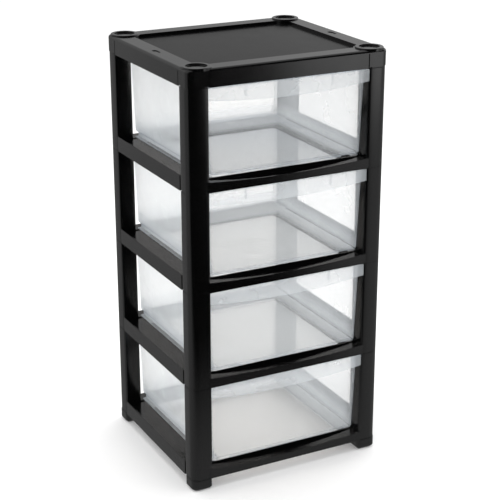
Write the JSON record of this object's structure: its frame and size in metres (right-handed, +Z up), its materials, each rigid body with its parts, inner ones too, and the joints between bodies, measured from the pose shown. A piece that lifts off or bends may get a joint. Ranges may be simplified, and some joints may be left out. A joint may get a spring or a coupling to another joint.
{
  "type": "drawer tower",
  "caption": "Free-standing tower of wide tapered clear drawers that slide in black ring frames on square corner posts, under a recessed top cover with round corner caps.",
  "frame": {"origin": "on the floor under the middle of the tower", "axes": "+Z up, front at -Y, +X to the right seen from the front"},
  "size_m": [0.39, 0.356, 0.7855],
  "materials": {
    "black_plastic": "satin moulded black plastic",
    "clear_plastic": "hazy clear moulded plastic"
  },
  "bodies": {
    "tower": {"top_cover": "black_plastic", "front_left_cap": "black_plastic", "front_left_foot": "black_plastic", "front_right_cap": "black_plastic", "front_right_foot": "black_plastic", "rear_left_cap": "black_plastic", "rear_left_foot": "black_plastic", "rear_right_cap": "black_plastic", "rear_right_foot": "black_plastic", "lowest_frame": "black_plastic", "lowest_front_left_post": "black_plastic", "lowest_front_right_post": "black_plastic", "lowest_rear_left_post": "black_plastic", "lowest_rear_right_post": "black_plastic", "lower_frame": "black_plastic", "lower_front_left_post": "black_plastic", "lower_front_right_post": "black_plastic", "lower_rear_left_post": "black_plastic", "lower_rear_right_post": "black_plastic", "upper_frame": "black_plastic", "upper_front_left_post": "black_plastic", "upper_front_right_post": "black_plastic", "upper_rear_left_post": "black_plastic", "upper_rear_right_post": "black_plastic", "highest_frame": "black_plastic", "highest_front_left_post": "black_plastic", "highest_front_right_post": "black_plastic", "highest_rear_left_post": "black_plastic", "highest_rear_right_post": "black_plastic"},
    "lowest_drawer_body": {"lowest_drawer": "clear_plastic"},
    "lower_drawer_body": {"lower_drawer": "clear_plastic"},
    "upper_drawer_body": {"upper_drawer": "clear_plastic"},
    "highest_drawer_body": {"highest_drawer": "clear_plastic"}
  },
  "joints": [
    {"name": "lowest_drawer_slide", "type": "slide", "parent": "tower", "child": "lowest_drawer_body", "axis": [0, -1, 0], "range_m": [0, 0.248]},
    {"name": "lower_drawer_slide", "type": "slide", "parent": "tower", "child": "lower_drawer_body", "axis": [0, -1, 0], "range_m": [0, 0.248]},
    {"name": "upper_drawer_slide", "type": "slide", "parent": "tower", "child": "upper_drawer_body", "axis": [0, -1, 0], "range_m": [0, 0.248]},
    {"name": "highest_drawer_slide", "type": "slide", "parent": "tower", "child": "highest_drawer_body", "axis": [0, -1, 0], "range_m": [0, 0.248]}
  ]
}
